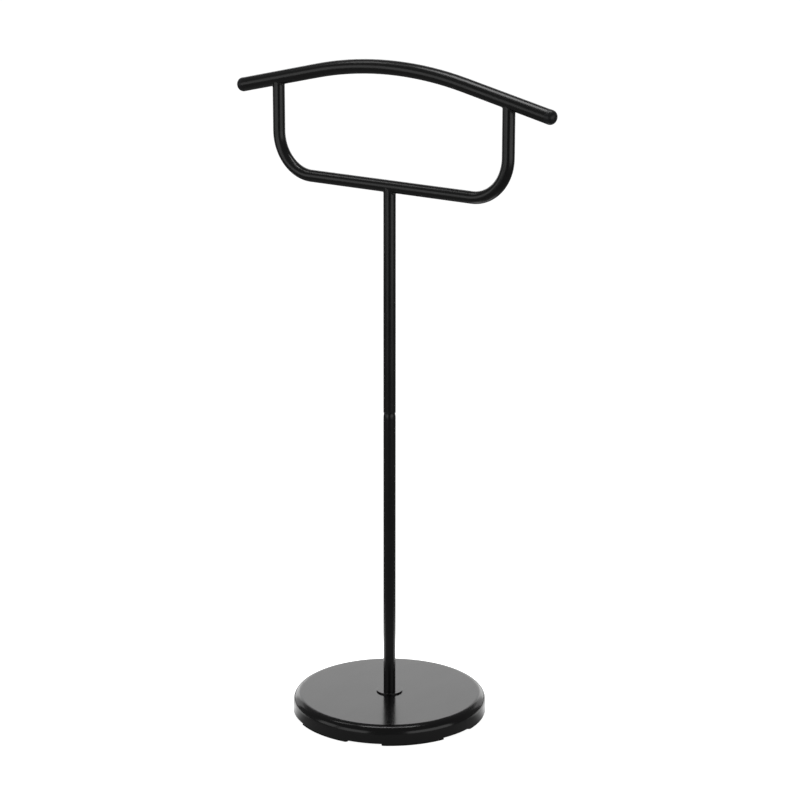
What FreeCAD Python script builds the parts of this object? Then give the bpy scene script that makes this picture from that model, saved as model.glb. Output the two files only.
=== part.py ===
"""Valet stand: a round weighted base, a pole in two screwed sections, a U-shaped yoke and a shoulder bar.

Millimetres, +Z up. The origin is on the floor under the pole. The shoulder bar and the yoke lie in
the XZ plane, and the stand is symmetric about the YZ plane.
"""
import FreeCAD, Part
import os
import Sketcher

doc = FreeCAD.newDocument("valet_stand")
sheet = doc.addObject("Spreadsheet::Sheet", "dims")

DIMENSIONS = (
    ("pole_radius", 10.0, "outside of the pole and yoke tube"),
    ("pole_wall", 1.5, "wall of that tube"),
    ("bar_radius", 11.6, "outside of the shoulder bar"),
    ("bar_wall", 1.5, "wall of the shoulder bar"),
    ("base_radius", 161.5, "outside of the base"),
    ("base_top", 32.0, "top face of the base over the floor"),
    ("base_sheet", 2.0, "sheet of the pressed base cover"),
    ("rim_radius", 14.0, "rounding of the cover's top edge"),
    ("skirt_edge_radius", 1.0, "rounding of the cover's bottom edge"),
    ("lip_width", 15.0, "the cover's edge turned in under the bottom plate"),
    ("pad_height", 3.4, "rubber pads that carry the base"),
    ("pad_inset", 1.5, "pads' outer arc inside the base's side"),
    ("pad_width", 12.0, "radial width of a pad"),
    ("pad_span", 39.0, "degrees of the rim that one pad covers"),
    ("pad_corner", 4.0, "rounding of a pad's corners"),
    ("plate_sheet", 1.5, "bottom plate"),
    ("slip", 0.3, "gap round pieces dropped into the cover"),
    ("well_radius", 25.0, "well in the ballast, for a socket on the base bolt"),
    ("well_cap_flange", 3.0, "the well cap's flange past its hole"),
    ("well_cap_depth", 7.5, "the well cap's spigot"),
    ("plastic_wall", 1.5, "wall of the moulded caps"),
    ("stiffener_radius", 45.0, "steel disc under the cover's top, round the bolt"),
    ("stiffener_sheet", 3.0, "that disc's thickness"),
    ("rosette_radius", 21.8, "flat disc between the pole and the base"),
    ("rosette_sheet", 2.4, "its thickness"),
    ("rosette_edge", 0.8, "rounding of its top edge"),
    ("thread_radius", 5.0, "M10 bolt and stud, modelled smooth"),
    ("thread_slack", 0.05, "running clearance in a threaded bore"),
    ("bolt_hole_slack", 0.5, "clearance in a plain bolt hole"),
    ("bolt_reach", 18.0, "length of the base bolt inside the pole's foot"),
    ("bolt_flats", 17.0, "across the flats of the bolt's head"),
    ("bolt_head", 6.4, "height of the bolt's head"),
    ("thread_chamfer", 1.0, "chamfer on the ends of the bolt and the stud"),
    ("washer_radius", 15.0, "large flat washer"),
    ("washer_sheet", 2.5, "its thickness"),
    ("lock_washer_radius", 9.0, "split lock washer"),
    ("lock_washer_sheet", 2.2, "its thickness"),
    ("lock_washer_split", 1.6, "width of its split"),
    ("foot_insert_length", 30.0, "threaded insert in the pole's foot"),
    ("joint_height", 514.8, "top of the lower pole section"),
    ("ring_thickness", 0.6, "thin ring between the pole sections"),
    ("ring_inset", 1.1, "ring's edge inside the pole's surface"),
    ("joint_edge", 0.4, "chamfer on the edges of the two sections where they meet"),
    ("neck_depth", 0.8, "how much the lower section narrows towards its top edge"),
    ("neck_length", 6.5, "length of that neck"),
    ("neck_blend", 30.0, "rounding where the neck starts"),
    ("lower_insert_length", 32.0, "threaded insert in the lower section's top"),
    ("upper_insert_length", 26.0, "insert that holds the stud in the upper section"),
    ("stud_depth", 22.0, "stud below the joint when it is screwed home"),
    ("stud_rise", 20.0, "stud above the joint, fixed in the upper insert"),
    ("insert_slack", 0.03, "inserts inside the tube's bore"),
    ("yoke_height", 887.0, "centre line of the yoke's lower bar"),
    ("yoke_half_width", 230.0, "centre line of the yoke's legs from the pole"),
    ("yoke_bend", 68.0, "bend radius of the yoke's centre line"),
    ("bar_crest", 1075.0, "highest point of the shoulder bar's centre line"),
    ("arch_radius", 687.0, "radius of the shoulder bar's middle arch"),
    ("arm_slope", 12.4, "degrees that each straight arm slopes down"),
    ("bar_reach", 315.5, "tip of the end caps from the pole's axis"),
    ("cap_length", 14.0, "end cap outside the tube"),
    ("cap_round", 9.5, "rounding of the end cap's nose"),
    ("cap_spigot", 15.0, "end cap inside the tube"),
    ("cap_slack", 0.1, "end cap's spigot inside the tube's bore"),
    ("weld_radius", 3.5, "hollow face of the fillet welds"),
    ("weld_gap", 0.04, "root gap where a coped tube end meets the tube across it"),
)

for row, (alias, value, remark) in enumerate(DIMENSIONS, start=1):
    sheet.set("A%d" % row, str(value))
    sheet.setAlias("A%d" % row, alias)
    sheet.set("B%d" % row, remark)
doc.recompute()

FULL_TURN = 360.0
PAD_COUNT = 6
PAD_FIRST_ANGLE = -37.0
# Cylinders and boxes that only cut are this long, past everything that they cut.
TOOL_LENGTH = 120.0
# Lengths that differ by less than this are the same length.
SAME = 1e-4


def named(expression):
    """Expression text with every dimension's alias pointed at the sheet."""
    words = expression
    for alias in sorted((entry[0] for entry in DIMENSIONS), key=len, reverse=True):
        words = words.replace("@" + alias, "dims." + alias)
    return words


def number(expression):
    """The expression's value now, to lay out geometry before its constraints hold it."""
    result = sheet.evalExpression(named(expression))
    return float(getattr(result, "Value", result))


# Heights and slopes that several pieces share, as expressions of the sheet.
LIP_TOP = "@pad_height + @base_sheet"
PLATE_TOP = LIP_TOP + " + @plate_sheet"
COVER_UNDERSIDE = "@base_top - @base_sheet"
COVER_BORE = "@base_radius - @base_sheet"
STIFFENER_BOTTOM = COVER_UNDERSIDE + " - @stiffener_sheet"
WASHER_BOTTOM = STIFFENER_BOTTOM + " - @washer_sheet"
LOCK_WASHER_BOTTOM = WASHER_BOTTOM + " - @lock_washer_sheet"
POLE_FOOT = "@base_top + @rosette_sheet"
RING_TOP = "@joint_height + @ring_thickness"
TUBE_BORE = "@pole_radius - @pole_wall"
INSERT_RADIUS = TUBE_BORE + " - @insert_slack"
BOLT_HOLE = "@thread_radius + @bolt_hole_slack"
THREADED_BORE = "@thread_radius + @thread_slack"
ARCH_HALF_WIDTH = "@arch_radius * sin(@arm_slope)"
ARM_START_HEIGHT = "(@bar_crest - @arch_radius * (1 - cos(@arm_slope)))"


def arm_height(across):
    """Height of a straight arm's centre line at a distance from the pole's axis."""
    return "(%s - (%s - %s) * tan(@arm_slope))" % (ARM_START_HEIGHT, across, ARCH_HALF_WIDTH)


# The centre lines of a yoke leg and of an arm meet at this height.
LEG_TOP = arm_height("@yoke_half_width")
TUBE_END_ACROSS = "(@bar_reach - @cap_length * cos(@arm_slope))"


def bind(target, prop, expression):
    target.setExpression(prop, named(expression))


def new_body(label):
    body = doc.addObject("PartDesign::Body", label)
    body.Label = label
    return body


def origin_plane(body, role):
    return next(item for item in body.Origin.OriginFeatures if item.Role == role)


def new_sketch(body, name, role):
    sketch = body.newObject("Sketcher::SketchObject", name)
    sketch.AttachmentSupport = [(origin_plane(body, role), "")]
    sketch.MapMode = "FlatFace"
    return sketch


def hold(sketch, kind, *where, expression):
    """Add a dimensional constraint and bind it to the sheet."""
    index = sketch.addConstraint(Sketcher.Constraint(kind, *where, number(expression)))
    bind(sketch, "Constraints[%d]" % index, expression)


ORIGIN = (-1, 1)
VERTICAL_AXIS = -2
START, END, CENTRE = 1, 2, 3


def polygon(body, name, role, corners):
    """Closed outline whose corners are (across, up) expressions; an across of "0" lies on the axis."""
    sketch = new_sketch(body, name, role)
    points = [FreeCAD.Vector(number(across), number(up), 0) for across, up in corners]
    count = len(points)
    for index in range(count):
        sketch.addGeometry(Part.LineSegment(points[index], points[(index + 1) % count]))
    for index in range(count):
        following = (index + 1) % count
        sketch.addConstraint(Sketcher.Constraint("Coincident", index, END, following, START))
    for index, (across, up) in enumerate(corners):
        if across == "0":
            sketch.addConstraint(Sketcher.Constraint("PointOnObject", index, START, VERTICAL_AXIS))
        else:
            hold(sketch, "DistanceX", *ORIGIN, index, START, expression=across)
        if up == "0":
            sketch.addConstraint(Sketcher.Constraint("PointOnObject", index, START, -1))
        else:
            hold(sketch, "DistanceY", *ORIGIN, index, START, expression=up)
    return sketch


def rings(body, name, role, radii, height=None):
    """Circles about the origin, or about a point at a height on the sketch's vertical axis."""
    sketch = new_sketch(body, name, role)
    level = number(height) if height else 0.0
    for index, radius in enumerate(radii):
        circle = Part.Circle(FreeCAD.Vector(0, level, 0), FreeCAD.Vector(0, 0, 1), number(radius))
        sketch.addGeometry(circle)
        hold(sketch, "Radius", index, expression=radius)
        if index:
            sketch.addConstraint(Sketcher.Constraint("Coincident", index, CENTRE, 0, CENTRE))
    if height:
        sketch.addConstraint(Sketcher.Constraint("PointOnObject", 0, CENTRE, VERTICAL_AXIS))
        hold(sketch, "DistanceY", *ORIGIN, 0, CENTRE, expression=height)
    else:
        sketch.addConstraint(Sketcher.Constraint("Coincident", 0, CENTRE, *ORIGIN))
    return sketch


def turned(label, corners, span=None):
    """A piece turned about the Z axis from an outline in the XZ plane."""
    body = new_body(label)
    outline = polygon(body, label + "_outline", "XZ_Plane", corners)
    turn = body.newObject("PartDesign::Revolution", label + "_turn")
    turn.Profile = outline
    turn.ReferenceAxis = (outline, ["V_Axis"])
    turn.Angle = FULL_TURN
    if span:
        turn.Midplane = True
        bind(turn, "Angle", span)
    doc.recompute()
    return body


def straight_tube(label, radii, bottom, length):
    """A round bar or tube standing on a height, with one radius or two."""
    body = new_body(label)
    section = rings(body, label + "_section", "XY_Plane", radii)
    pad = body.newObject("PartDesign::Pad", label + "_length")
    pad.Profile = section
    bind(pad, "Length", length)
    bind(body, "Placement.Base.z", bottom)
    doc.recompute()
    return body


def circles_at(shape, radius, height):
    """Names of a shape's circular edges of one radius at one height."""
    names = []
    for index, edge in enumerate(shape.Edges, start=1):
        curve = edge.Curve
        if isinstance(curve, Part.Circle):
            same_radius = abs(curve.Radius - radius) < SAME
            if same_radius and abs(curve.Center.z - height) < SAME:
                names.append("Edge%d" % index)
    return names


def upright_edges(shape):
    """Names of a shape's straight vertical edges."""
    names = []
    for index, edge in enumerate(shape.Edges, start=1):
        low, high = edge.BoundBox.ZMin, edge.BoundBox.ZMax
        if isinstance(edge.Curve, Part.Line) and abs(high - low - edge.Length) < SAME:
            names.append("Edge%d" % index)
    return names


def rounded(body, name, edges, radius):
    """Fillet edges of the body's present tip."""
    base = body.Tip
    fillet = body.newObject("PartDesign::Fillet", name)
    fillet.Base = (base, edges)
    bind(fillet, "Radius", radius)
    doc.recompute()


def bevelled(body, name, edges, size):
    """Chamfer edges of the body's present tip."""
    base = body.Tip
    chamfer = body.newObject("PartDesign::Chamfer", name)
    chamfer.Base = (base, edges)
    bind(chamfer, "Size", size)
    doc.recompute()


# ---- Base ----

def make_base_cover():
    """Pressed steel cover: flat top, rounded rim, upright side and an edge turned in underneath."""
    lip_edge = "@base_radius - @lip_width"
    body = turned("base_cover", [
        (BOLT_HOLE, "@base_top"), ("@base_radius", "@base_top"),
        ("@base_radius", "@pad_height"), (lip_edge, "@pad_height"),
        (lip_edge, LIP_TOP), (COVER_BORE, LIP_TOP),
        (COVER_BORE, COVER_UNDERSIDE), (BOLT_HOLE, COVER_UNDERSIDE)])
    outer = circles_at(body.Tip.Shape, number("@base_radius"), number("@base_top"))
    rounded(body, "cover_rim", outer, "@rim_radius")
    inner = circles_at(body.Tip.Shape, number(COVER_BORE), number(COVER_UNDERSIDE))
    rounded(body, "cover_rim_inside", inner, "@rim_radius - @base_sheet")
    skirt = circles_at(body.Tip.Shape, number("@base_radius"), number("@pad_height"))
    rounded(body, "cover_skirt_edge", skirt, "@skirt_edge_radius")
    return body


def make_stiffener():
    return turned("top_stiffener", [
        (BOLT_HOLE, STIFFENER_BOTTOM), ("@stiffener_radius", STIFFENER_BOTTOM),
        ("@stiffener_radius", COVER_UNDERSIDE), (BOLT_HOLE, COVER_UNDERSIDE)])


def make_ballast():
    """Cast cement ring on the bottom plate, with a well for the bolt and a recess for the stiffener."""
    outside = COVER_BORE + " - @slip"
    recess = "@stiffener_radius + 2 * @slip"
    recess_floor = STIFFENER_BOTTOM + " - @slip"
    top = COVER_UNDERSIDE + " - @slip"
    body = turned("ballast", [
        ("@well_radius", PLATE_TOP), (outside, PLATE_TOP), (outside, top),
        (recess, top), (recess, recess_floor), ("@well_radius", recess_floor)])
    shoulder = circles_at(body.Tip.Shape, number(outside), number(top))
    rounded(body, "ballast_shoulder", shoulder, "@rim_radius - @base_sheet")
    return body


def make_bottom_plate():
    outside = COVER_BORE + " - @slip"
    return turned("bottom_plate", [
        ("@well_radius", LIP_TOP), (outside, LIP_TOP), (outside, PLATE_TOP), ("@well_radius", PLATE_TOP)])


def make_well_cap():
    """Moulded cap pressed into the bottom plate's hole from below."""
    flange_bottom = LIP_TOP + " - @plastic_wall"
    spigot = "@well_radius - @slip"
    spigot_top = LIP_TOP + " + @well_cap_depth"
    return turned("well_cap", [
        ("0", flange_bottom), ("@well_radius + @well_cap_flange", flange_bottom),
        ("@well_radius + @well_cap_flange", LIP_TOP), (spigot, LIP_TOP), (spigot, spigot_top),
        (spigot + " - @plastic_wall", spigot_top), (spigot + " - @plastic_wall", LIP_TOP), ("0", LIP_TOP)])


def make_pads():
    """Arc-shaped rubber pads glued under the cover's turned-in edge."""
    outside = "@base_radius - @pad_inset"
    inside = outside + " - @pad_width"
    pads = []
    for index in range(PAD_COUNT):
        label = "rubber_pad_%d" % (index + 1)
        body = turned(label, [
            (inside, "0"), (outside, "0"), (outside, "@pad_height"), (inside, "@pad_height")],
            span="@pad_span")
        rounded(body, label + "_corners", upright_edges(body.Tip.Shape), "@pad_corner")
        angle = PAD_FIRST_ANGLE + index * FULL_TURN / PAD_COUNT
        turn = FreeCAD.Rotation(FreeCAD.Vector(0, 0, 1), angle)
        body.Placement = FreeCAD.Placement(FreeCAD.Vector(), turn)
        pads.append(body)
    return pads


# ---- Bolted foot of the pole ----

def make_rosette():
    body = turned("pole_rosette", [
        (BOLT_HOLE, "@base_top"), ("@rosette_radius", "@base_top"),
        ("@rosette_radius", POLE_FOOT), (BOLT_HOLE, POLE_FOOT)])
    edge = circles_at(body.Tip.Shape, number("@rosette_radius"), number(POLE_FOOT))
    rounded(body, "rosette_edge_round", edge, "@rosette_edge")
    return body


def make_bolt():
    """Hexagon-head bolt that comes up through the base into the pole's foot."""
    shank_length = "(%s) + @bolt_reach - (%s)" % (POLE_FOOT, LOCK_WASHER_BOTTOM)
    shank = turned("base_bolt_shank", [
        ("0", "0"), ("@thread_radius", "0"), ("@thread_radius", shank_length + " - @thread_chamfer"),
        ("@thread_radius - @thread_chamfer", shank_length), ("0", shank_length)])
    bind(shank, "Placement.Base.z", LOCK_WASHER_BOTTOM)
    head = doc.addObject("Part::Prism", "base_bolt_head")
    head.Polygon = 6
    bind(head, "Circumradius", "@bolt_flats / 2 / cos(30)")
    bind(head, "Height", "@bolt_head")
    bind(head, "Placement.Base.z", LOCK_WASHER_BOTTOM + " - @bolt_head")
    bolt = doc.addObject("Part::Fuse", "base_bolt")
    bolt.Base = head
    bolt.Tool = shank
    return bolt


def make_washer():
    return straight_tube("base_bolt_washer", ["@washer_radius", BOLT_HOLE], WASHER_BOTTOM, "@washer_sheet")


def make_lock_washer():
    """Split ring: a flat ring with a narrow slot through one side."""
    ring = straight_tube(
        "lock_washer_ring", ["@lock_washer_radius", BOLT_HOLE], LOCK_WASHER_BOTTOM, "@lock_washer_sheet")
    slot = doc.addObject("Part::Box", "lock_washer_slot")
    bind(slot, "Length", "@lock_washer_radius * 2")
    bind(slot, "Width", "@lock_washer_split")
    bind(slot, "Height", "@lock_washer_sheet + 2 * @slip")
    bind(slot, "Placement.Base.y", "-@lock_washer_split / 2")
    bind(slot, "Placement.Base.z", LOCK_WASHER_BOTTOM + " - @slip")
    washer = doc.addObject("Part::Cut", "base_bolt_lock_washer")
    washer.Base = ring
    washer.Tool = slot
    return washer


def make_foot_insert():
    return straight_tube(
        "pole_foot_insert", [INSERT_RADIUS, THREADED_BORE], POLE_FOOT, "@foot_insert_length")


# ---- Pole and its screwed joint ----

def make_lower_pole():
    """Lower section, its end swaged to a slight neck under the seam."""
    length = "@joint_height - (%s)" % POLE_FOOT
    body = straight_tube("lower_pole", ["@pole_radius", TUBE_BORE], POLE_FOOT, length)
    tube = body.Tip
    top = circles_at(tube.Shape, number("@pole_radius"), number(length))
    neck = body.newObject("PartDesign::Chamfer", "lower_pole_neck")
    neck.Base = (tube, top)
    neck.ChamferType = "Two distances"
    bind(neck, "Size", "@neck_length")
    bind(neck, "Size2", "@neck_depth")
    doc.recompute()
    neck_start = circles_at(neck.Shape, number("@pole_radius"), number(length + " - @neck_length"))
    rounded(body, "lower_pole_neck_start", neck_start, "@neck_blend")
    rim = circles_at(body.Tip.Shape, number("@pole_radius - @neck_depth"), number(length))
    bevelled(body, "lower_pole_edge", rim, "@joint_edge")
    return body


def make_lower_insert():
    return straight_tube(
        "lower_joint_insert", [INSERT_RADIUS, THREADED_BORE],
        "@joint_height - @lower_insert_length", "@lower_insert_length")


def make_joint_ring():
    return straight_tube(
        "joint_ring", ["@pole_radius - @ring_inset", BOLT_HOLE], "@joint_height", "@ring_thickness")


def make_joint_stud():
    bottom = "@joint_height - @stud_depth"
    top = "@joint_height + @stud_rise"
    inset = "@thread_radius - @thread_chamfer"
    return turned("joint_stud", [
        ("0", bottom), (inset, bottom), ("@thread_radius", bottom + " + @thread_chamfer"),
        ("@thread_radius", top + " - @thread_chamfer"), (inset, top), ("0", top)])


def make_upper_insert():
    return straight_tube(
        "upper_joint_insert", [INSERT_RADIUS, THREADED_BORE], RING_TOP, "@upper_insert_length")


def cylinder_along(name, centre, angle, radius, length=TOOL_LENGTH):
    """Cylinder in the XZ plane through a point; its axis is Z turned about Y by an angle in degrees."""
    tool = doc.addObject("Part::Cylinder", name)
    bind(tool, "Radius", radius)
    tool.Height = length
    axis_turn = FreeCAD.Rotation(FreeCAD.Vector(0, 1, 0), angle)
    middle = FreeCAD.Vector(number(centre[0]), 0, number(centre[1]))
    start = middle - axis_turn.multVec(FreeCAD.Vector(0, 0, length / 2))
    tool.Placement = FreeCAD.Placement(start, axis_turn)
    return tool


def make_upper_pole():
    """Upper section, its top end coped to sit under the yoke's lower bar."""
    tube = straight_tube(
        "upper_pole_tube", ["@pole_radius", TUBE_BORE], RING_TOP, "@yoke_height - (%s)" % RING_TOP)
    bottom = circles_at(tube.Tip.Shape, number("@pole_radius"), 0.0)
    bevelled(tube, "upper_pole_edge", bottom, "@joint_edge")
    cope = cylinder_along(
        "upper_pole_cope", ("0", "@yoke_height"), 90, "@pole_radius + @weld_gap")
    pole = doc.addObject("Part::Cut", "upper_pole")
    pole.Base = tube
    pole.Tool = cope
    return pole


# ---- Yoke and shoulder bar ----

def swept_half(label, spine, radii, height):
    """Sweep a tube's section along a spine that starts on the YZ plane, and mirror it across that plane."""
    body = spine.getParentGeoFeatureGroup()
    section = rings(body, label + "_section", "YZ_Plane", radii, height)
    sweep = body.newObject("PartDesign::AdditivePipe", label + "_half")
    sweep.Profile = section
    sweep.Spine = (spine, [])
    doc.recompute()
    mirrored = body.newObject("PartDesign::Mirrored", label + "_whole")
    mirrored.Originals = [sweep]
    mirrored.MirrorPlane = (origin_plane(body, "YZ_Plane"), [""])
    body.Tip = mirrored
    doc.recompute()
    return body


def make_yoke():
    """U-shaped tube: a level lower bar, two large bends and two upright legs coped to the shoulder bar."""
    body = new_body("yoke_bent_tube")
    spine = new_sketch(body, "yoke_spine", "XZ_Plane")
    across = number("@yoke_half_width")
    level = number("@yoke_height")
    bend = number("@yoke_bend")
    corner = FreeCAD.Vector(across - bend, level, 0)
    centre = FreeCAD.Vector(across - bend, level + bend, 0)
    leg_start = FreeCAD.Vector(across, level + bend, 0)
    leg_end = FreeCAD.Vector(across, number(LEG_TOP), 0)
    middle = centre + (corner + leg_start - centre * 2).normalize() * bend
    spine.addGeometry(Part.LineSegment(FreeCAD.Vector(0, level, 0), corner))
    spine.addGeometry(Part.Arc(corner, middle, leg_start))
    spine.addGeometry(Part.LineSegment(leg_start, leg_end))
    spine.addConstraint(Sketcher.Constraint("PointOnObject", 0, START, VERTICAL_AXIS))
    spine.addConstraint(Sketcher.Constraint("Horizontal", 0))
    spine.addConstraint(Sketcher.Constraint("Tangent", 0, END, 1, START))
    spine.addConstraint(Sketcher.Constraint("Tangent", 1, END, 2, START))
    spine.addConstraint(Sketcher.Constraint("Vertical", 2))
    hold(spine, "DistanceY", *ORIGIN, 0, START, expression="@yoke_height")
    hold(spine, "Radius", 1, expression="@yoke_bend")
    hold(spine, "DistanceX", *ORIGIN, 2, END, expression="@yoke_half_width")
    hold(spine, "DistanceY", *ORIGIN, 2, END, expression=LEG_TOP)
    bent = swept_half("yoke_tube", spine, ["@pole_radius", TUBE_BORE], "@yoke_height")
    for side in (-1, 1):
        name = "yoke_cope_%s" % ("left" if side < 0 else "right")
        tool = cylinder_along(
            name, ("%d * @yoke_half_width" % side, LEG_TOP),
            90 + side * number("@arm_slope"), "@bar_radius + @weld_gap")
        cut = doc.addObject("Part::Cut", "yoke_tube" if side > 0 else "yoke_coped_left")
        cut.Base = bent
        cut.Tool = tool
        bent = cut
    return bent


def make_shoulder_bar():
    """Tube with a gentle arch over the pole and a straight sloping arm on each side."""
    body = new_body("shoulder_bar")
    spine = new_sketch(body, "bar_spine", "XZ_Plane")
    radius = number("@arch_radius")
    centre = FreeCAD.Vector(0, number("@bar_crest") - radius, 0)
    crest = FreeCAD.Vector(0, number("@bar_crest"), 0)
    arm_start = FreeCAD.Vector(number(ARCH_HALF_WIDTH), number(ARM_START_HEIGHT), 0)
    arm_end = FreeCAD.Vector(number(TUBE_END_ACROSS), number(arm_height(TUBE_END_ACROSS)), 0)
    middle = centre + (crest + arm_start - centre * 2).normalize() * radius
    spine.addGeometry(Part.Arc(arm_start, middle, crest))
    spine.addGeometry(Part.LineSegment(arm_start, arm_end))
    spine.addConstraint(Sketcher.Constraint("PointOnObject", 0, CENTRE, VERTICAL_AXIS))
    spine.addConstraint(Sketcher.Constraint("PointOnObject", 0, END, VERTICAL_AXIS))
    spine.addConstraint(Sketcher.Constraint("Tangent", 0, START, 1, START))
    hold(spine, "DistanceY", *ORIGIN, 0, END, expression="@bar_crest")
    hold(spine, "Radius", 0, expression="@arch_radius")
    hold(spine, "DistanceX", *ORIGIN, 0, START, expression=ARCH_HALF_WIDTH)
    hold(spine, "DistanceX", *ORIGIN, 1, END, expression=TUBE_END_ACROSS)
    return swept_half("shoulder_bar", spine, ["@bar_radius", "@bar_radius - @bar_wall"], "@bar_crest")


def make_end_cap(label, side):
    """Moulded cap with a rounded nose, its hollow spigot inside the shoulder bar's end."""
    spigot = "@bar_radius - @bar_wall - @cap_slack"
    bore = spigot + " - @plastic_wall"
    depth = "@cap_spigot"
    nose = depth + " + @cap_length"
    cap = turned(label, [
        (bore, "0"), (spigot, "0"), (spigot, depth), ("@bar_radius", depth),
        ("@bar_radius", nose), ("0", nose), ("0", depth), (bore, depth)])
    edge = circles_at(cap.Tip.Shape, number("@bar_radius"), number(nose))
    rounded(cap, label + "_nose", edge, "@cap_round")
    turn = FreeCAD.Rotation(FreeCAD.Vector(0, 1, 0), side * (90 + number("@arm_slope")))
    tube_end = FreeCAD.Vector(side * number(TUBE_END_ACROSS), 0, number(arm_height(TUBE_END_ACROSS)))
    inwards = turn.multVec(FreeCAD.Vector(0, 0, -number(depth)))
    cap.Placement = FreeCAD.Placement(tube_end + inwards, turn)
    return cap


# ---- Welds ----

def make_weld(label, joint, rail_angle, rail_radius):
    """The fillet weld in the corner between an upright tube and the underside of the tube across it.

    The two tubes are fused as plain bars, the seam between them is filleted, and what the fillet
    adds is the weld.
    """
    post = doc.addObject("Part::Cylinder", label + "_post")
    bind(post, "Radius", "@pole_radius")
    post.Height = TOOL_LENGTH / 2
    centre = FreeCAD.Vector(number(joint[0]), 0, number(joint[1]))
    post.Placement.Base = centre - FreeCAD.Vector(0, 0, TOOL_LENGTH / 2)
    rail = cylinder_along(label + "_rail", joint, rail_angle, rail_radius)
    bars = doc.addObject("Part::Fuse", label + "_bars")
    bars.Base = post
    bars.Tool = rail
    doc.recompute()
    filleted = doc.addObject("Part::Fillet", label + "_filleted")
    filleted.Base = bars
    size = number("@weld_radius")
    filleted.Edges = [(index, size, size) for index in seam_edges(bars.Shape, post.Shape, rail.Shape)]
    weld = doc.addObject("Part::Cut", label)
    weld.Base = filleted
    weld.Tool = bars
    return weld


def seam_edges(bars, post, rail):
    """Numbers of the edges of two fused bars where their surfaces meet."""
    found = []
    for index, edge in enumerate(bars.Edges, start=1):
        points = [Part.Vertex(point) for point in edge.discretize(5)]
        skins = (post.Faces[0], rail.Faces[0])
        if all(point.distToShape(skin)[0] < SAME for point in points for skin in skins):
            found.append(index)
    return found


def make_welds():
    slope = number("@arm_slope")
    return [
        make_weld("weld_pole", ("0", "@yoke_height"), 90, "@pole_radius"),
        make_weld("weld_leg_left", ("-@yoke_half_width", LEG_TOP), 90 - slope, "@bar_radius"),
        make_weld("weld_leg_right", ("@yoke_half_width", LEG_TOP), 90 + slope, "@bar_radius")]


def check(pieces):
    """Stop before anything is written if an object failed or a piece has no valid shape."""
    for item in doc.Objects:
        if "Invalid" in item.State or "Error" in item.State:
            raise RuntimeError("%s did not compute: %s" % (item.Name, item.State))
    for piece in pieces:
        shape = piece.Shape
        if shape.isNull() or not shape.isValid() or not shape.Solids:
            raise RuntimeError("%s has no valid solid" % piece.Label)


def write(pieces):
    os.makedirs("parts", exist_ok=True)
    for piece in pieces:
        piece.Shape.exportStep("parts/%s.step" % piece.Label)
        print("%-24s %2d solid(s) %12.1f mm3" % (piece.Label, len(piece.Shape.Solids), piece.Shape.Volume))


pieces = make_pads()
pieces += [make_base_cover(), make_stiffener(), make_ballast(), make_bottom_plate(), make_well_cap()]
pieces += [make_rosette(), make_bolt(), make_washer(), make_lock_washer(), make_foot_insert()]
pieces += [make_lower_pole(), make_lower_insert(), make_joint_ring(), make_joint_stud()]
pieces += [make_upper_insert(), make_upper_pole(), make_yoke(), make_shoulder_bar()]
pieces += [make_end_cap("end_cap_left", -1), make_end_cap("end_cap_right", 1)]
pieces += make_welds()
doc.recompute()
check(pieces)
write(pieces)
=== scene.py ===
import math

import bpy
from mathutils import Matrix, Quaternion, Vector


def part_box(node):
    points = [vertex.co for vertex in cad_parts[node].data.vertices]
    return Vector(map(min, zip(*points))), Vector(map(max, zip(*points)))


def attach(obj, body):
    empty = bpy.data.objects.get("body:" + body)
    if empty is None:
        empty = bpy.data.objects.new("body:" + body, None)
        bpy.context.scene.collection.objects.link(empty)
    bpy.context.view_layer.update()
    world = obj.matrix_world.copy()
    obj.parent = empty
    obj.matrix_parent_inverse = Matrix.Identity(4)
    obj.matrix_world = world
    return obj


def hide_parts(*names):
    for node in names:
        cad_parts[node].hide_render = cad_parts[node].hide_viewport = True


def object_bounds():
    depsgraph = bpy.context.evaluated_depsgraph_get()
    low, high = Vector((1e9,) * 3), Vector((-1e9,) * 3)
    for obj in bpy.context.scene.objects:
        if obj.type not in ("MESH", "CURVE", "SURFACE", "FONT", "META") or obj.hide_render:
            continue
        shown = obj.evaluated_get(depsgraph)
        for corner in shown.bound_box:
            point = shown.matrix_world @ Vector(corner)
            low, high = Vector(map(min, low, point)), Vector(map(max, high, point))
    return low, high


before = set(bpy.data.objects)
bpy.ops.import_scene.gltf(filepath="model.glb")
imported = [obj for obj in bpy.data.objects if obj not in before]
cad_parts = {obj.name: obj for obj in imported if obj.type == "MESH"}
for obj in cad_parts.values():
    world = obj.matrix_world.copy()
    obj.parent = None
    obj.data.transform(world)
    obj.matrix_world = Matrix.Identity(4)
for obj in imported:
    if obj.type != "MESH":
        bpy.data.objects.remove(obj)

# Everything is in metres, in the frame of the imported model: the origin is on the floor under the
# pole, +Z is up, the shoulder bar lies along X and the front looks towards -Y.

LOW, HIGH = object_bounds()
HEIGHT = HIGH.z
UP = Vector((0, 0, 1))

# The camera: where it stands round the stand, how far down it looks, its roll, and what it aims at.
VIEW_AZIMUTH = math.radians(38.0)
VIEW_DOWN = math.radians(14.88)
VIEW_ROLL = math.radians(0.08)
VIEW_DISTANCE = 3.581 * HEIGHT
SENSOR = 36.0
LENS = 107.85
AIM_HEIGHT = 0.4936 * HEIGHT
AIM_RIGHT = 0.0156 * HEIGHT

AWAY = Vector((-math.sin(VIEW_AZIMUTH), math.cos(VIEW_AZIMUTH), 0))
RIGHT = Vector((math.cos(VIEW_AZIMUTH), math.sin(VIEW_AZIMUTH), 0))

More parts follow.
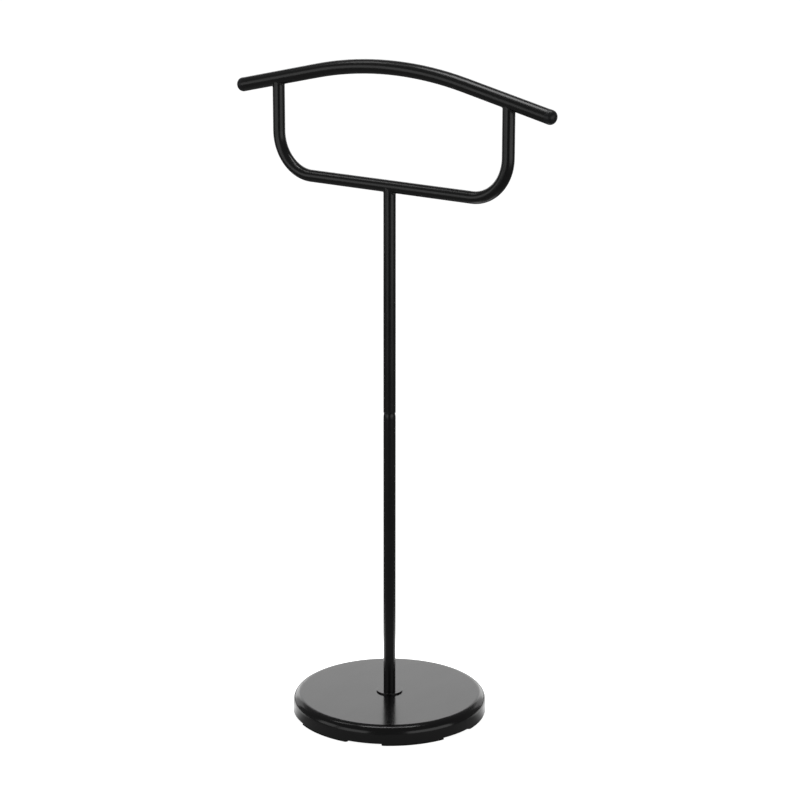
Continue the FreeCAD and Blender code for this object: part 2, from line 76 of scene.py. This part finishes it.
# The studio. Radiances are in the picture's own unit, where 1 is white. The backdrop starts and is at
# full strength at these cosines from the direction straight behind the stand.
BACKDROP = 1.57
BACKDROP_EDGE = (0.84, 0.90)
AMBIENT = 0.15
WORLD_SEEN = 1.05
FLOOR_HALF = 30.0
FLOOR_ALBEDO = 0.32
FLOOR_SEEN = 0.96
# The floor's glow in reflections: dim in front of the pole, bright behind it, and fading with distance.
FLOOR_FRONT = -0.07
FLOOR_BACK = 0.03
FLOOR_GLOW_FRONT = 0.12
FLOOR_GLOW_BACK = 1.7
FLOOR_GLOW_REACH = 0.5
FLOOR_GLOW_CORE = 0.25
SIDE_DISTANCE = 3.0
SIDE_HEIGHT = 0.85
OVERHEAD_CLEARANCE = 1.1

# An edge is where the normal and its average over the edge's width agree no better than this, from
# a cosine that doesn't count yet to one that counts in full.
EDGE_AGREEMENT = (0.99, 0.8)
EDGE_SAMPLES = 4

# The stud's M10 thread. Its flat crest and root are shares of the pitch, as in the metric profile.
THREAD_PITCH = 0.0015
THREAD_DEPTH = 0.613 * THREAD_PITCH
THREAD_CREST = 1 / 8
THREAD_ROOT = 1 / 4
THREAD_CHAMFER = 0.001
THREAD_CLEARANCE = 0.00006
THREAD_STEPS = 48
THREAD_ROWS = 12


# Small node recipes. A length in them is a real length on the object, in metres.


def add(tree, kind, **settings):
    """A new node; a setting that isn't one of its own properties is the value of an input."""
    node = tree.nodes.new("ShaderNode" + kind)
    for name, value in settings.items():
        if hasattr(node, name):
            setattr(node, name, value)
        else:
            node.inputs[name.replace("_", " ")].default_value = value
    return node


def calculate(tree, operation, first, second):
    """The result of an operation on two numbers, each a plain number or the output of a node."""
    node = add(tree, "Math", operation=operation)
    for socket, value in zip(node.inputs, (first, second)):
        if isinstance(value, bpy.types.NodeSocket):
            tree.links.new(value, socket)
        else:
            socket.default_value = value
    return node.outputs[0]


def remap(tree, value, low, high, to_low=0.0, to_high=1.0):
    """value's range from low to high, eased, becomes to_low to to_high."""
    node = add(tree, "MapRange", interpolation_type="SMOOTHSTEP")
    tree.links.new(value, node.inputs["Value"])
    for name, number in (("From Min", low), ("From Max", high), ("To Min", to_low), ("To Max", to_high)):
        node.inputs[name].default_value = number
    return node.outputs[0]


def place(tree, stretch=(1, 1, 1)):
    """The point on the object, in metres, divided along each axis by stretch."""
    coordinates = add(tree, "TexCoord")
    mapping = add(tree, "Mapping")
    mapping.inputs["Scale"].default_value = [1 / s for s in stretch]
    tree.links.new(coordinates.outputs["Object"], mapping.inputs["Vector"])
    return mapping.outputs[0]


def noise(tree, size, detail, stretch=(1, 1, 1)):
    """Smooth random variation from 0 to 1 whose features are about size across."""
    node = add(tree, "TexNoise", Scale=1 / size, Detail=detail)
    tree.links.new(place(tree, stretch), node.inputs["Vector"])
    return node.outputs["Fac"]


def cells(tree, size):
    """Distance to the nearest of scattered points about size apart, as a share of size."""
    node = add(tree, "TexVoronoi", Scale=1 / size)
    tree.links.new(place(tree), node.inputs["Vector"])
    return node.outputs["Distance"]


def facing(tree, direction):
    """How far the surface faces a fixed direction of the object, from -1 to 1."""
    node = add(tree, "VectorMath", operation="DOT_PRODUCT")
    tree.links.new(add(tree, "NewGeometry").outputs["Normal"], node.inputs[0])
    node.inputs[1].default_value = direction
    return node.outputs["Value"]


def edges(tree, width):
    """1 on an edge and 0 further than about width from one."""
    rounded = add(tree, "Bevel", samples=EDGE_SAMPLES, Radius=width)
    node = add(tree, "VectorMath", operation="DOT_PRODUCT")
    tree.links.new(rounded.outputs[0], node.inputs[0])
    tree.links.new(add(tree, "NewGeometry").outputs["Normal"], node.inputs[1])
    return remap(tree, node.outputs["Value"], *EDGE_AGREEMENT)


def blend(tree, share, first, second):
    """A colour from first to second, by share."""
    node = add(tree, "Mix", data_type="RGBA")
    tree.links.new(share, node.inputs["Factor"])
    for socket, color in zip((node.inputs[6], node.inputs[7]), (first, second)):
        if isinstance(color, bpy.types.NodeSocket):
            tree.links.new(color, socket)
        else:
            socket.default_value = (*color, 1)
    return node.outputs[2]


def relief(tree, layers):
    """The normal of a surface with several layers of relief, each (height from 0 to 1, depth in metres)."""
    normal = None
    for height, depth in layers:
        node = add(tree, "Bump", Distance=depth, Strength=1.0)
        tree.links.new(height, node.inputs["Height"])
        if normal:
            tree.links.new(normal, node.inputs["Normal"])
        normal = node.outputs[0]
    return normal


def material(name, **numbers):
    """A material with a Principled shader and its numbers. Returns it, its tree and its shader."""
    made = bpy.data.materials.new(name)
    made.use_nodes = True
    tree = made.node_tree
    shader = tree.nodes["Principled BSDF"]
    for socket, value in numbers.items():
        shader.inputs[socket.replace("_", " ")].default_value = value
    return made, tree, shader


def wire(tree, shader, color, roughness, normal):
    tree.links.new(color, shader.inputs["Base Color"])
    tree.links.new(roughness, shader.inputs["Roughness"])
    tree.links.new(normal, shader.inputs["Normal"])


# The finishes.


def tube_coating():
    """Satin black powder coat: a fine orange peel with a finer grain in it, rubbed a little on top."""
    made, tree, shader = material("tube_coating_finish", IOR=1.5, Specular_IOR_Level=0.5)
    peel = noise(tree, 0.0013, 1.0)
    grain = noise(tree, 0.00035, 1.0)
    cloud = noise(tree, 0.05, 3.0)
    rubbed = calculate(tree, "MULTIPLY", remap(tree, facing(tree, UP), 0.6, 1.0), cloud)
    worn = edges(tree, 0.0006)
    color = blend(tree, cloud, (0.0054, 0.0054, 0.0056), (0.0080, 0.0080, 0.0082))
    color = blend(tree, calculate(tree, "MULTIPLY", worn, grain), color, (0.03, 0.03, 0.03))
    rough = remap(tree, cloud, 0.25, 0.75, 0.22, 0.27)
    rough = calculate(tree, "SUBTRACT", rough, calculate(tree, "MULTIPLY", rubbed, 0.06))
    wire(tree, shader, color, rough, relief(tree, [(peel, 0.000012), (grain, 0.000003)]))
    return made


def base_lacquer():
    """Glossy black stoving lacquer on pressed steel: a long shallow orange peel and a little dust."""
    made, tree, shader = material("base_lacquer_finish", IOR=1.5, Specular_IOR_Level=0.5)
    peel = noise(tree, 0.0030, 1.0)
    cloud = noise(tree, 0.07, 3.0)
    dust = remap(tree, cells(tree, 0.009), 0.035, 0.02)
    smear = noise(tree, 0.03, 4.0, stretch=(1, 3, 1))
    color = blend(tree, cloud, (0.0024, 0.0024, 0.0026), (0.0042, 0.0042, 0.0044))
    color = blend(tree, calculate(tree, "MULTIPLY", dust, 0.25), color, (0.05, 0.05, 0.05))
    rough = remap(tree, smear, 0.3, 0.7, 0.16, 0.19)
    rough = calculate(tree, "ADD", rough, calculate(tree, "MULTIPLY", dust, 0.2))
    wire(tree, shader, color, rough, relief(tree, [(peel, 0.0000025)]))
    return made


def moulded_black():
    """Black moulded plastic, a little bluer than the coating, with a fine spark-eroded grain."""
    made, tree, shader = material("moulded_black_finish", IOR=1.5, Specular_IOR_Level=0.45)
    grain = noise(tree, 0.0004, 2.0)
    cloud = noise(tree, 0.012, 3.0)
    color = blend(tree, cloud, (0.0105, 0.0112, 0.0125), (0.0140, 0.0148, 0.0165))
    rough = remap(tree, cloud, 0.3, 0.7, 0.34, 0.42)
    wire(tree, shader, color, rough, relief(tree, [(grain, 0.000010)]))
    return made


def pad_rubber():
    """Matt black rubber with a fine pitted skin, greyer along its edges."""
    made, tree, shader = material("pad_rubber_finish", IOR=1.5, Specular_IOR_Level=0.3)
    grain = noise(tree, 0.0006, 3.0)
    cloud = noise(tree, 0.008, 3.0)
    color = blend(tree, cloud, (0.010, 0.010, 0.010), (0.018, 0.018, 0.017))
    color = blend(tree, edges(tree, 0.0008), color, (0.035, 0.035, 0.033))
    rough = remap(tree, cloud, 0.3, 0.7, 0.70, 0.85)
    wire(tree, shader, color, rough, relief(tree, [(grain, 0.00004)]))
    return made


def zinc_steel():
    """Zinc-plated steel: a spangled grey with fine turning marks and brighter edges."""
    made, tree, shader = material("zinc_steel_finish", Metallic=1.0)
    cloud = noise(tree, 0.006, 4.0)
    marks = noise(tree, 0.0012, 2.0, stretch=(6, 6, 0.15))
    color = blend(tree, cloud, (0.50, 0.51, 0.53), (0.66, 0.66, 0.64))
    color = blend(tree, edges(tree, 0.0005), color, (0.78, 0.78, 0.77))
    rough = remap(tree, cloud, 0.3, 0.7, 0.28, 0.42)
    wire(tree, shader, color, rough, relief(tree, [(marks, 0.000012)]))
    return made


def cement():
    """Cast cement: sandy, with pores, each one painted darker as a painted shade in its hollow."""
    made, tree, shader = material("cement_finish", Specular_IOR_Level=0.2)
    sand = noise(tree, 0.0012, 3.0)
    cloud = noise(tree, 0.04, 4.0)
    pores_and_shade = remap(tree, cells(tree, 0.006), 0.22, 0.10)
    color = blend(tree, cloud, (0.26, 0.25, 0.24), (0.40, 0.39, 0.37))
    # The pores are painted darker: painted shade in the hollows that the relief below carves.
    color = blend(tree, pores_and_shade, color, (0.15, 0.145, 0.14))
    rough = remap(tree, sand, 0.3, 0.7, 0.85, 0.95)
    hollow = calculate(tree, "SUBTRACT", 1.0, pores_and_shade)
    wire(tree, shader, color, rough, relief(tree, [(hollow, 0.0005), (sand, 0.0002)]))
    return made


FINISHES = {
    "tube_coating": tube_coating(),
    "base_lacquer": base_lacquer(),
    "moulded_black": moulded_black(),
    "pad_rubber": pad_rubber(),
    "zinc_steel": zinc_steel(),
    "cement": cement(),
}


def dress_nodes():
    """Every CAD node gets the finish of its own material slot."""
    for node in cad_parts.values():
        for socket in node.material_slots:
            socket.material = FINISHES[socket.material.name.split(".")[0]]


# The threaded stud, seen when the pole is unscrewed. The CAD model has it smooth.


def thread_sink(height, turn):
    """How far the thread's surface lies inside its crest, at a height and a share of a turn."""
    half_crest, half_root = THREAD_CREST / 2, THREAD_ROOT / 2
    from_crest = abs((height / THREAD_PITCH - turn) % 1 - 0.5)
    down_flank = (from_crest - half_crest) / (0.5 - half_crest - half_root)
    return THREAD_DEPTH * min(max(down_flank, 0), 1)


def threaded_rod(name, centre, bottom, top, radius):
    """A closed rod along Z with a right-hand metric thread and chamfered ends."""
    length = top - bottom
    rows = round(length / THREAD_PITCH * THREAD_ROWS)
    points = []
    for row in range(rows + 1):
        height = length * row / rows
        chamfered = radius - THREAD_CHAMFER + min(height, length - height)
        for step in range(THREAD_STEPS):
            turn = step / THREAD_STEPS
            reach = min(radius - thread_sink(height, turn), chamfered)
            across = Vector((math.cos(math.tau * turn), math.sin(math.tau * turn), 0))
            points.append(Vector((centre.x, centre.y, bottom + height)) + reach * across)
    lower_end = tuple(reversed(range(THREAD_STEPS)))
    upper_end = tuple(range(rows * THREAD_STEPS, len(points)))
    faces = [lower_end, upper_end]
    for row in range(rows):
        for step in range(THREAD_STEPS):
            here = row * THREAD_STEPS + step
            beside = row * THREAD_STEPS + (step + 1) % THREAD_STEPS
            faces.append((here, beside, beside + THREAD_STEPS, here + THREAD_STEPS))
    mesh = bpy.data.meshes.new(name)
    mesh.from_pydata(points, [], faces)
    mesh.shade_smooth()
    rod = bpy.data.objects.new(name, mesh)
    bpy.context.scene.collection.objects.link(rod)
    return rod


def make_stud():
    """The stud of the pole's joint, just inside the CAD stud, so that it clears the threaded inserts."""
    low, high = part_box("joint_stud")
    centre = (low + high) / 2
    radius = (high.x - low.x) / 2 - THREAD_CLEARANCE
    stud = threaded_rod("threaded_stud", centre, low.z, high.z, radius)
    stud.data.materials.append(FINISHES["zinc_steel"])
    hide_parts("joint_stud")
    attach(stud, "hanger")


# The studio.


def make_world():
    """White to the camera; in reflections, a dim room with a bright backdrop behind the stand."""
    world = bpy.data.worlds.new("studio")
    bpy.context.scene.world = world
    world.use_nodes = True
    tree = world.node_tree
    behind = add(tree, "VectorMath", operation="DOT_PRODUCT")
    tree.links.new(add(tree, "TexCoord").outputs["Generated"], behind.inputs[0])
    behind.inputs[1].default_value = AWAY
    share = remap(tree, behind.outputs["Value"], *BACKDROP_EDGE)
    seen = add(tree, "LightPath").outputs["Is Camera Ray"]
    strength = calculate(tree, "ADD", AMBIENT, calculate(tree, "MULTIPLY", share, BACKDROP - AMBIENT))
    strength = calculate(tree, "MAXIMUM", strength, calculate(tree, "MULTIPLY", seen, WORLD_SEEN))
    tree.links.new(strength, tree.nodes["Background"].inputs["Strength"])
    tree.nodes["Background"].inputs["Color"].default_value = (1, 1, 1, 1)


def make_floor():
    """A plain pale floor. To the camera it is lit up to white, as a studio sweep is."""
    mesh = bpy.data.meshes.new("floor")
    corners = [(-1, -1), (1, -1), (1, 1), (-1, 1)]
    mesh.from_pydata([(x * FLOOR_HALF, y * FLOOR_HALF, 0) for x, y in corners], [], [(0, 1, 2, 3)])
    floor = bpy.data.objects.new("floor", mesh)
    bpy.context.scene.collection.objects.link(floor)
    made = bpy.data.materials.new("floor_paper")
    made.use_nodes = True
    tree = made.node_tree
    shader = tree.nodes["Principled BSDF"]
    shader.inputs["Base Color"].default_value = (FLOOR_ALBEDO, FLOOR_ALBEDO, FLOOR_ALBEDO, 1)
    shader.inputs["Roughness"].default_value = 0.9
    shader.inputs["Specular IOR Level"].default_value = 0.1
    shader.inputs["Emission Color"].default_value = (1, 1, 1, 1)
    seen = add(tree, "LightPath").outputs["Is Camera Ray"]
    point = add(tree, "TexCoord").outputs["Object"]
    depth = add(tree, "VectorMath", operation="DOT_PRODUCT")
    tree.links.new(point, depth.inputs[0])
    depth.inputs[1].default_value = AWAY
    distance = add(tree, "VectorMath", operation="LENGTH")
    tree.links.new(point, distance.inputs[0])
    behind = remap(
        tree, depth.outputs["Value"], FLOOR_FRONT, FLOOR_BACK, FLOOR_GLOW_FRONT, FLOOR_GLOW_BACK)
    near = remap(tree, distance.outputs["Value"], FLOOR_GLOW_REACH, FLOOR_GLOW_CORE)
    glow = calculate(tree, "MULTIPLY", behind, near)
    glow = calculate(tree, "MAXIMUM", glow, calculate(tree, "MULTIPLY", seen, FLOOR_SEEN))
    tree.links.new(glow, shader.inputs["Emission Strength"])
    mesh.materials.append(made)


def soft_box(name, size, radiance):
    """An area light of a size and a radiance that nothing has placed yet; it shines along its -Z."""
    lamp = bpy.data.lights.new(name, "AREA")
    lamp.shape = "RECTANGLE"
    lamp.size, lamp.size_y = size
    lamp.energy = radiance * math.pi * size[0] * size[1]
    light = bpy.data.objects.new(name, lamp)
    bpy.context.scene.collection.objects.link(light)
    light.visible_camera = False
    return light


def side_box(name, azimuth, height, size, radiance):
    """An upright box that faces the pole, at a height, azimuth degrees to the right of the camera."""
    turn = VIEW_AZIMUTH + math.radians(azimuth)
    toward = Vector((math.sin(turn), -math.cos(turn), 0))
    light = soft_box(name, size, radiance)
    light.location = toward * SIDE_DISTANCE + UP * height
    light.rotation_euler = toward.to_track_quat("Z", "Y").to_euler()


def overhead_box(name, right, away, size, radiance):
    """A level box over the shoulder bar, square to the camera, off the pole by right and away."""
    light = soft_box(name, size, radiance)
    light.location = RIGHT * right + AWAY * away + UP * (HEIGHT + OVERHEAD_CLEARANCE)
    light.rotation_euler = (0, 0, VIEW_AZIMUTH)


def make_lights():
    overhead_box("overhead", 0.0, 0.08, (1.2, 0.38), 4.7)
    overhead_box("overhead_far", -1.08, 0.42, (0.6, 0.26), 2.6)
    side_box("left_box", -42, SIDE_HEIGHT, (1.9, 1.6), 0.9)
    side_box("left_high", -76, 1.05, (1.3, 1.5), 0.9)
    side_box("right_box", 48, SIDE_HEIGHT, (3.1, 1.6), 1.0)
    for name, azimuth in (("back_left", -148), ("back_right", 148)):
        side_box(name, azimuth, SIDE_HEIGHT, (1.8, 1.6), 0.8)


def make_camera():
    camera = bpy.data.objects.new("camera", bpy.data.cameras.new("camera"))
    bpy.context.scene.collection.objects.link(camera)
    camera.data.sensor_width = SENSOR
    camera.data.lens = LENS
    look = AWAY * math.cos(VIEW_DOWN) - UP * math.sin(VIEW_DOWN)
    aim = RIGHT * AIM_RIGHT + UP * AIM_HEIGHT
    camera.location = aim - look * VIEW_DISTANCE
    roll = Quaternion((0, 0, 1), VIEW_ROLL)
    camera.rotation_euler = (look.to_track_quat("-Z", "Y") @ roll).to_euler()
    bpy.context.scene.camera = camera


make_camera()
dress_nodes()
make_stud()
make_world()
make_floor()
make_lights()
bpy.context.scene.view_settings.view_transform = "Standard"
